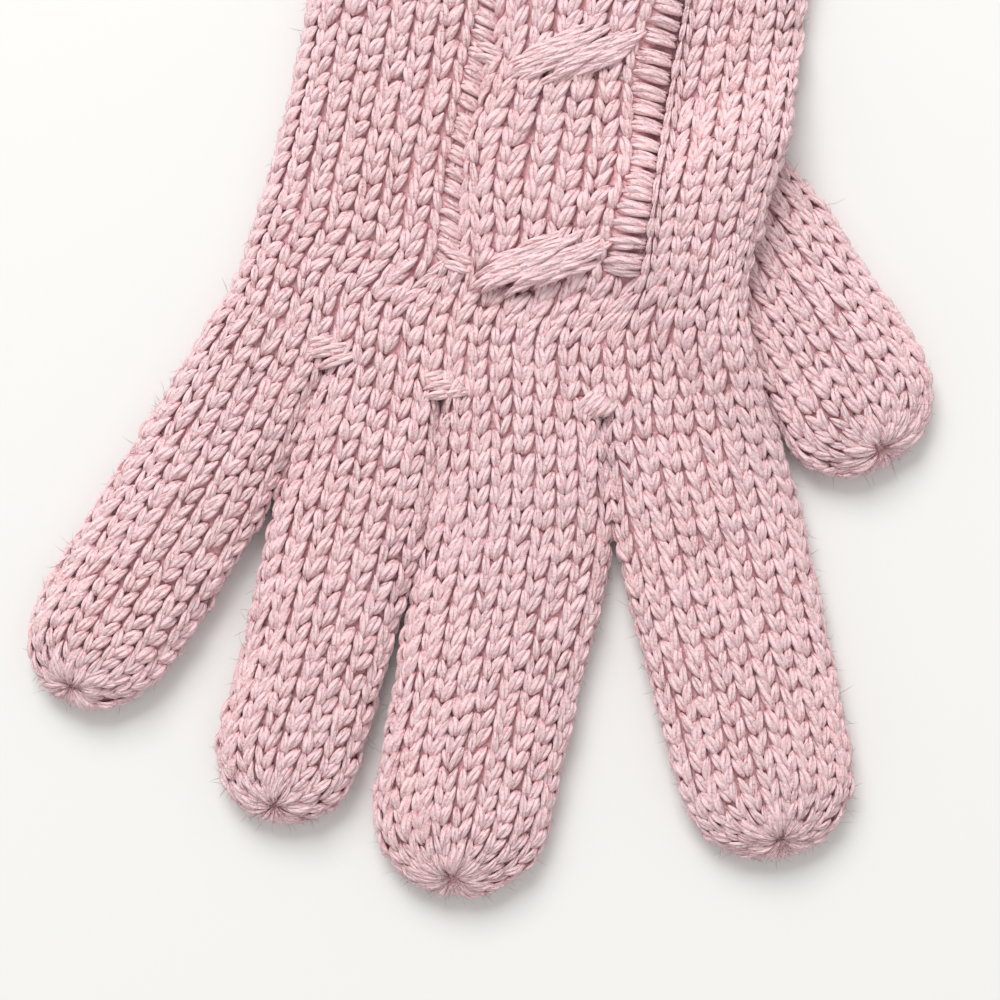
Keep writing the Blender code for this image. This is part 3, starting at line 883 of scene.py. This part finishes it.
class Nodes:
    """A material with a Principled shader, and what makes and links its other nodes."""

    def __init__(self, name, roughness, specular):
        self.material = bpy.data.materials.new(name)
        self.material.use_nodes = True
        self.tree = self.material.node_tree
        self.shader = self.tree.nodes["Principled BSDF"]
        self.shader.inputs["Roughness"].default_value = roughness
        self.shader.inputs["Specular IOR Level"].default_value = specular

    def new(self, kind, inputs=(), **settings):
        """A node of this kind, with its settings and the values or links of its inputs."""
        node = self.tree.nodes.new("ShaderNode" + kind)
        for title, value in settings.items():
            setattr(node, title, value)
        for key, value in dict(inputs).items():
            if isinstance(value, bpy.types.NodeSocket):
                self.tree.links.new(value, node.inputs[key])
            else:
                node.inputs[key].default_value = value
        return node

    def math(self, operation, *values):
        return self.new("Math", enumerate(values), operation=operation).outputs[0]

    def plus(self, a, b):
        return self.math("ADD", a, b)

    def times(self, a, b):
        return self.math("MULTIPLY", a, b)

    def attribute(self, title):
        return self.new("Attribute", attribute_name=title).outputs["Fac"]

    def noise(self, place, scale, detail, roughness=0.5):
        inputs = {"Vector": place, "Scale": scale, "Detail": detail, "Roughness": roughness}
        return self.new("TexNoise", inputs).outputs["Fac"]

    def ramp(self, at, first, last):
        """A colour ramp between two stops, each a position and a colour."""
        node = self.new("ValToRGB", {"Fac": at})
        for element, (position, colour) in zip(node.color_ramp.elements, (first, last)):
            element.position = position
            element.color = colour
        return node

    def bump(self, height):
        inputs = {"Strength": BUMP_STRENGTH, "Distance": BUMP_DEEP * MM, "Height": height}
        self.tree.links.new(self.new("Bump", inputs).outputs["Normal"], self.shader.inputs["Normal"])

    def colour(self, output):
        self.tree.links.new(output, self.shader.inputs["Base Color"])


BUMP_STRENGTH = 0.8
BUMP_DEEP = 0.3
SHEEN = {"Sheen Weight": 0.25, "Sheen Roughness": 0.5, "Sheen Tint": (1.0, 0.86, 0.87, 1.0)}
RIDGES = 4.0  # ridges of the plies round the yarn
RIDGE_TURN = 0.26  # how far they wind round it in a mm
STREAKS = (8.0, 0.9)  # how fine the fibres' streaks are, round the yarn and along it
SPECK_SCALE = 2300.0
CLOUD_SCALE = 55.0
LILAC = (0.96, 0.97, 1.02, 1)  # what the dye is multiplied by where it is cooler


# Of the three colours, the first is the palest, a painted highlight, the last a darker crimson, painted
# shade, and the middle one lies between.
def yarn_material(name, painted_highlight, side, deep):
    """Plied wool with twisted plies. Its colour carries painted light: paler where the yarn stands out and
    on its ply ridges as painted highlight, darker crimson at its hidden ends and underside as painted
    shade.
    """
    made = Nodes(name, 0.92, 0.12)
    plus, times = made.plus, made.times
    for title, value in SHEEN.items():
        made.shader.inputs[title].default_value = value
    uv = made.new("UVMap", uv_map="yarn").outputs["UV"]
    parts = made.new("SeparateXYZ", {0: uv}).outputs
    place = made.new("TexCoord").outputs["Object"]
    painted_light, tint = made.attribute("painted_light"), made.attribute("tint")

    # Plies: ridges that wind round the yarn, bumped, and painted paler on their tops as painted highlight.
    phase = plus(times(parts["X"], RIDGES), times(parts["Y"], RIDGE_TURN))
    phase = plus(phase, times(tint, 7.0))
    ridge = made.math("ABSOLUTE", made.math("SINE", times(phase, math.pi)))
    ridge = made.math("POWER", ridge, 0.6)

    # Fibres: streaks along the yarn and finer specks. Clouds: slow changes of dye over the glove.
    round_it, along_it = STREAKS
    squeezed = {0: times(parts["X"], round_it), 1: times(parts["Y"], along_it), 2: times(tint, 91.0)}
    streaks = made.noise(made.new("CombineXYZ", squeezed).outputs[0], 1.0, 3.0, 0.65)
    specks = made.noise(place, SPECK_SCALE, 2.0, 0.6)
    clouds = made.noise(place, CLOUD_SCALE, 2.0)

    # The ramp goes from painted shade to painted highlight as the painted light mask and the ply ridges
    # say; the fibres' streaks and specks, each strand's tint and the slow clouds add the wool's own uneven
    # tone.
    shade_and_fibre_tone = times(painted_light, plus(times(ridge, 0.3), 0.5))
    for change, much in ((streaks, 1.5), (specks, 2.4), (tint, 0.12), (clouds, 0.25)):
        shade_and_fibre_tone = plus(shade_and_fibre_tone, times(made.math("SUBTRACT", change, 0.5), much))
    dye = made.ramp(shade_and_fibre_tone, (0.04, deep), (1.0, painted_highlight))
    dye.color_ramp.interpolation = "EASE"
    dye.color_ramp.elements.new(0.5).color = side
    mixed = {"Factor": times(clouds, 0.9), "A": dye.outputs["Color"], "B": LILAC}
    made.colour(made.new("Mix", mixed, data_type="RGBA", blend_type="MULTIPLY").outputs["Result"])

    made.bump(plus(plus(times(ridge, 0.6), times(streaks, 0.8)), times(specks, 1.2)))
    return made.material


def backing_painted_shade():
    """The back of the loops, seen only through the small gaps between them, coloured darker than the yarn
    as painted shade.
    """
    made = Nodes("backing", 1.0, 0.05)
    fibres = made.noise(made.new("TexCoord").outputs["Object"], 1500.0, 3.0)
    dye = made.ramp(fibres, (0.3, (0.66, 0.3, 0.33, 1)), (0.7, (0.9, 0.58, 0.6, 1)))
    made.colour(dye.outputs["Color"])
    made.bump(fibres)
    return made.material


# -------------------- pieces


def make_backings(nets, material):
    """Each part's fabric, which takes its model's place."""
    made = {}
    for name, net in nets.items():
        made[name] = backing(f"{name}_fabric", net, material, closed=name in KNIT)
        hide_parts(name)
    return made


def cut_size(net):
    """What a tube measures, cut open along one wale and laid flat: its width and length in metres."""
    closed = np.append(net.points, net.points[:, :1], axis=1)
    round_it = np.linalg.norm(np.diff(closed, axis=1), axis=2)
    along_it = np.linalg.norm(np.diff(net.points, axis=0), axis=2)
    return round_it.sum(axis=1).mean() * MM, along_it.sum(axis=0).mean() * MM


def seen_from_above(net, wale, course):
    """Which of these stitches lie on the upper side."""
    return net.at(wale, course + 0.5)[1][:, 2] > -0.15


def knit_piece(name, net, wales, courses, material, make, extra):
    """The stitches of these wales and courses, finer on the upper side than under the glove."""
    wale, course = grid_of(wales, courses)
    above = seen_from_above(net, wale, course)
    made = []
    for side, build, kept in (("", TOP_YARN, above), ("_under", UNDER_YARN, ~above)):
        if kept.any():
            lines = make(net, wale[kept], course[kept], build[0], extra)
            made.append(yarn(name + side, lines, material, build))
    return made


def make_finger_yarn(name, net, material):
    wales, courses, fuller = KNIT[name]
    shown_courses = np.arange(courses - 1.5)
    return knit_piece(f"{name}_yarn", net, np.arange(wales), shown_courses, material, knit_legs, fuller)


GATHER_COURSES = 2.9  # how far before the tip the drawn-up loops start
GATHER_LOOPS = 1.4  # for each wale


def make_gather(name, net, material):
    """The long narrow loops that are drawn up to one point at a fingertip."""
    wales, courses, _ = KNIT[name]
    t = np.linspace(0, 1, TOP_YARN[0])
    count = round(GATHER_LOOPS * wales)
    wale = (np.arange(count) + 0.5) / GATHER_LOOPS + uneven(0.16, count)
    start = courses - GATHER_COURSES + 1.1 * rng.random(count)
    end = courses - 0.02 - 0.5 * rng.random(count) ** 2
    course = mix(start[:, None], end[:, None], t)
    lean = 0.5 * np.where(np.arange(count) % 2, 1, -1)[:, None] * (t - 0.5)
    high = -0.15 - 1.1 * t**3 - 0.8 * (1 - t) ** 3 + uneven(0.22, count)[:, None]
    line, normal = net.at(wale[:, None] + lean, course, high)
    radius = 0.95 * hump(t * 0.96 + 0.02, 0.6) * (1 - 0.45 * t)
    radii = radius * (1 + uneven(0.15, count)[:, None])
    # Painted shade mask: the loops' colour darkens towards both ends, most at the drawn-up point.
    tuck_shade = np.broadcast_to(hump(t * 0.85 + 0.1, 0.8), radii.shape)
    return yarn(f"{name}_gather", (line, normal, radii, tuck_shade), material, TOP_YARN)


CROSSING_STRANDS = 26
CROSSING_LONG = 14.6  # between the middles of its first and last strands
CROSSING_BULGE = 3.4  # how far its strands spread to either side, half way along
STRAND_LONG = 8.8
STRAND_SLOPE = math.radians(39.0)
STRAND_RADIUS = 0.72
STRAND_HIGH = 2.4  # of a strand's middle over the back of the hand
SPREAD_STEP = 0.382  # a step of the golden section, which strews them evenly
CABLE_FOOT_Y = -38.0  # the cable's middle line is read as if the hand ended here
BAR_RADIUS = 0.8
BAR_HIGH = 0.35
BAND_YARN = (11, 7, 2)  # rings along a strand of the bands, sides round it and its plies
CROTCH_YARN = (9, 7, 2)
# Loops drawn out sideways beside the band, from the middle of the crossing.
CROSSING_BARS = (
    # x from, y from, x to, y to
    (-13.9, -1.0, -8.6, -1.4),
    (-14.1, -2.7, -8.8, -2.8),
    (10.4, 4.2, 15.2, 4.8),
    (9.4, 0.9, 15.4, 1.9),
    (7.2, -2.3, 12.2, -1.5),
)


def make_crossings(material):
    """The bands where half of the cable's wales pass over the other half, as long slanting loops."""
    starts, ends, highs, sizes = [], [], [], []
    cos, sin = math.cos(CROSSING_SLOPE), math.sin(CROSSING_SLOPE)
    for crossing in range(CROSSINGS):
        y = CROSSING_LOWEST_Y + crossing * CROSSING_PITCH
        middle = read(HAND_EDGES, np.array((WRIST_Y - y) / (WRIST_Y - CABLE_FOOT_Y)), 3)
        for strand in range(CROSSING_STRANDS):
            share = 2 * strand / (CROSSING_STRANDS - 1) - 1
            along = share * CROSSING_LONG / 2
            across = CROSSING_BULGE * (1 - 0.75 * share**2) * (2 * (strand * SPREAD_STEP % 1) - 1)
            slope = STRAND_SLOPE + uneven(0.06)
            long = STRAND_LONG * (1 + uneven(0.08))
            x0 = middle + CABLE_ASIDE + along * cos - across * sin
            y0 = y + along * sin + across * cos
            dx, dy = math.cos(slope) * long / 2, math.sin(slope) * long / 2
            starts.append((x0 - dx, y0 - dy))
            ends.append((x0 + dx, y0 + dy))
            highs.append(STRAND_HIGH - 0.012 * along**2 - 0.06 * across**2 + uneven(0.15))
            sizes.append(STRAND_RADIUS * (1 + uneven(0.1)))
        for x1, y1, x2, y2 in CROSSING_BARS:
            starts.append((middle + x1, y + y1))
            ends.append((middle + x2, y + y2))
            highs.append(BAR_HIGH)
            sizes.append(BAR_RADIUS)
    bands = free_strands(starts, ends, highs, sizes, BAND_YARN[0], sway=0.03, dive=1.2)
    return yarn("cable_crossings", bands, material, BAND_YARN)


CROTCH_BAR_RADIUS = 0.82
# Loops picked up across the gaps between the fingers.
CROTCH_BARS = (
    # x from, y from, x to, y to, height
    (-29.9, -40.6, -23.2, -37.5, 0.1),
    (-28.6, -42.6, -22.6, -38.6, 0.0),
    (-31.0, -39.4, -26.4, -37.0, 0.1),
    (-30.8, -41.1, -25.4, -38.6, 0.0),
    (-12.4, -43.2, -6.3, -40.4, 0.1),
    (-9.2, -43.9, -4.3, -41.0, 0.0),
    (-13.0, -41.7, -8.6, -39.6, 0.0),
    (-11.8, -44.4, -7.6, -42.4, 0.2),
    (11.2, -43.4, 14.2, -38.2, 0.1),
    (12.6, -43.7, 15.5, -38.2, 0.2),
    (14.0, -43.4, 16.6, -38.5, 0.1),
    (15.4, -42.8, 17.6, -38.9, 0.0),
)


def make_crotch_bars(material):
    """The bars over the crotches between the fingers."""
    table = np.array(CROTCH_BARS)
    starts, ends, highs = table[:, 0:2], table[:, 2:4], table[:, 4]
    sizes = np.full(len(table), CROTCH_BAR_RADIUS)
    bars = free_strands(starts, ends, highs - 0.1, sizes, CROTCH_YARN[0], sway=0.02, dive=1.3)
    return yarn("crotch_bars", bars, material, CROTCH_YARN)


def make_hand_yarn(net, material):
    whole = np.arange(HAND_COURSES)
    beside, beyond = whole[:CABLE_COURSES], whole[CABLE_COURSES:]
    blocks = {
        "hand_left_yarn": (0, LEFT_WALES),
        "hand_right_yarn": (RIGHT_FIRST, WALES_TOP),
        "cable_yarn": (CABLE_FIRST, RIGHT_PURL),
        "palm_yarn": (WALES_TOP, 2 * WALES_TOP),
    }
    gutters = (
        # name, wale, how its bars reach and how deep they are sunk
        ("gutter_left_yarn", LEFT_PURL, (-1.6, 0.6, 0.3)),
        ("gutter_right_yarn", RIGHT_PURL, (-0.7, 1.75, 0.3)),
    )
    made = []
    for name, (first, end) in blocks.items():
        made += knit_piece(name, net, np.arange(first, end), whole, material, knit_legs, 1)
    for name, wale, bar in gutters:
        made += knit_piece(name, net, np.array([wale]), beside, material, purl_bumps, bar)
    added = np.array((LEFT_ADDED, LEFT_PURL, RIGHT_PURL, RIGHT_ADDED))
    made += knit_piece("hand_added_yarn", net, added, beyond, material, knit_legs, 1)
    return made + [make_crossings(material), make_crotch_bars(material)]


def make_bound_edge(net, material):
    """The loops that bind off the cuff's open end, each over the next one's start."""
    t = np.linspace(0, 1, TOP_YARN[0])
    wale = np.arange(net.wales)[:, None] + mix(-0.2, 1.3, t)
    even = 0 * wale
    course = -0.15 + 0.3 * np.sin(np.pi * t) + even
    line, normal = net.at(wale, course, -0.5 - 0.7 * np.abs(2 * t - 1) ** 2 + even)
    radii = 0.95 * hump(t, 0.5, 0.02) + even
    # The fourth array is the painted shade mask: the loops' colour darkens towards their ends.
    return yarn("cuff_bound_edge", (line, normal, radii, hump(t, 0.7) + even), material, TOP_YARN)


def make_cuff_yarn(net, material):
    wales, whole = np.arange(net.wales), np.arange(CUFF_COURSES)
    knit, purl = wales[is_knit(wales)], wales[~is_knit(wales)]
    made = knit_piece("cuff_rib_yarn", net, knit, whole, material, knit_legs, 1)
    made += knit_piece("cuff_purl_yarn", net, purl, whole, material, purl_bumps, (-0.6, 0.6, 0.0))
    return made + [make_bound_edge(net, material)]


# Loose fibres on each part.
FUZZ = {
    "hand": 3900,
    "cuff": 2000,
    "finger_little": 1300,
    "finger_ring": 1300,
    "finger_middle": 1600,
    "finger_index": 1600,
    "thumb": 1100,
}
FUZZ_LONG = (1.0, 3.6)
FUZZ_RADIUS = 0.045
FUZZ_YARN = (3, 3, 1)  # rings along a fibre, sides round it and its plies


def make_fuzz(name, net, material):
    """Loose fibres that stand off the yarn, most of them short and near the surface."""
    count = FUZZ[name]
    wale = rng.random(count) * net.wales
    course = rng.random(count) * net.courses
    root, normal = net.at(wale, course, -0.25)
    flow = rng.standard_normal((count, 3))
    flow = unit(flow - normal * (flow * normal).sum(axis=1, keepdims=True))
    long = mix(*FUZZ_LONG, rng.random(count)[:, None] ** 2)
    stand = 0.15 + 0.75 * rng.random(count)[:, None] ** 2
    curl = 0.5 * rng.standard_normal((count, 3))
    t = np.linspace(0, 1, FUZZ_YARN[0])[:, None]
    off = flow[:, None] * t * (1 - 0.25 * t) + normal[:, None] * stand[:, None] * t
    line = root[:, None] + long[:, None] * (off + curl[:, None] * t**2 * 0.4)
    line[..., 2] = np.maximum(line[..., 2], 0.1)
    radii = np.full((count, len(t)), FUZZ_RADIUS)
    normals = np.broadcast_to(normal[:, None], line.shape)
    return yarn(f"{name}_fuzz", (line, normals, radii, np.ones_like(radii)), material, FUZZ_YARN)


# -------------------- studio

# The photo looks straight down on the glove, which lies turned in it.
PHOTO_TURN = math.radians(9.5)
PHOTO_CENTRE = (2.3, -57.6)
PHOTO_WIDE = 155.0
CAMERA_HIGH = 450.0
SENSOR_WIDE = 36.0
# Lengths of the studio, in metres.
FLOOR_REACH = 1.5
KEY_AT = (-0.50, 1.02, 1.18)
KEY_AIM = (0, -0.05, 0)
KEY_WIDE = 0.9
KEY_WATTS = 22.0
SKY = (1.0, 0.99, 0.98, 1)
SKY_STRENGTH = 0.66


def make_camera():
    camera = bpy.data.cameras.new("camera")
    camera.sensor_width = SENSOR_WIDE
    camera.lens = SENSOR_WIDE * CAMERA_HIGH / PHOTO_WIDE
    seen = placed_object("camera", camera)
    seen.location = Vector((*PHOTO_CENTRE, CAMERA_HIGH)) * MM
    seen.rotation_euler.z = PHOTO_TURN
    bpy.context.scene.camera = seen


def make_floor():
    mesh = bpy.data.meshes.new("floor")
    corners = [(x * FLOOR_REACH, y * FLOOR_REACH, 0) for x, y in ((-1, -1), (1, -1), (1, 1), (-1, 1))]
    mesh.from_pydata(corners, [], [(0, 1, 2, 3)])
    paper = Nodes("paper", 0.9, 0.1)
    paper.shader.inputs["Base Color"].default_value = (0.81, 0.81, 0.795, 1)
    mesh.materials.append(paper.material)
    placed_object("floor", mesh)


def make_light():
    key = bpy.data.lights.new("key", "AREA")
    key.shape = "SQUARE"
    key.size = KEY_WIDE
    key.energy = KEY_WATTS
    key_object = placed_object("key", key)
    key_object.location = KEY_AT
    aim = Vector(KEY_AIM) - key_object.location
    key_object.rotation_euler = aim.to_track_quat("-Z", "Y").to_euler()

    world = bpy.data.worlds.new("studio")
    world.use_nodes = True
    sky = world.node_tree.nodes["Background"]
    sky.inputs["Color"].default_value = SKY
    sky.inputs["Strength"].default_value = SKY_STRENGTH
    bpy.context.scene.world = world
    bpy.context.scene.view_settings.view_transform = "Standard"


nets = make_nets()
# Each material's colours: the palest is a painted highlight, the darkest crimson is painted shade, and the
# middle one lies between.
wool = yarn_material("wool", (0.9, 0.685, 0.69, 1), (0.9, 0.635, 0.64, 1), (0.8, 0.4, 0.43, 1))
halo = yarn_material("fibres", (0.95, 0.74, 0.75, 1), (0.85, 0.6, 0.61, 1), (0.6, 0.35, 0.37, 1))
fabrics = make_backings(nets, backing_painted_shade())
trims = {name: [] for name in nets}
for finger in KNIT:
    trims[finger] += make_finger_yarn(finger, nets[finger], wool)
    trims[finger].append(make_gather(finger, nets[finger], wool))
trims["hand"] += make_hand_yarn(nets["hand"], wool)
trims["cuff"] += make_cuff_yarn(nets["cuff"], wool)
for part, net in nets.items():
    trims[part].append(make_fuzz(part, net, halo))
    cut_size(net)
make_camera()
make_floor()
make_light()
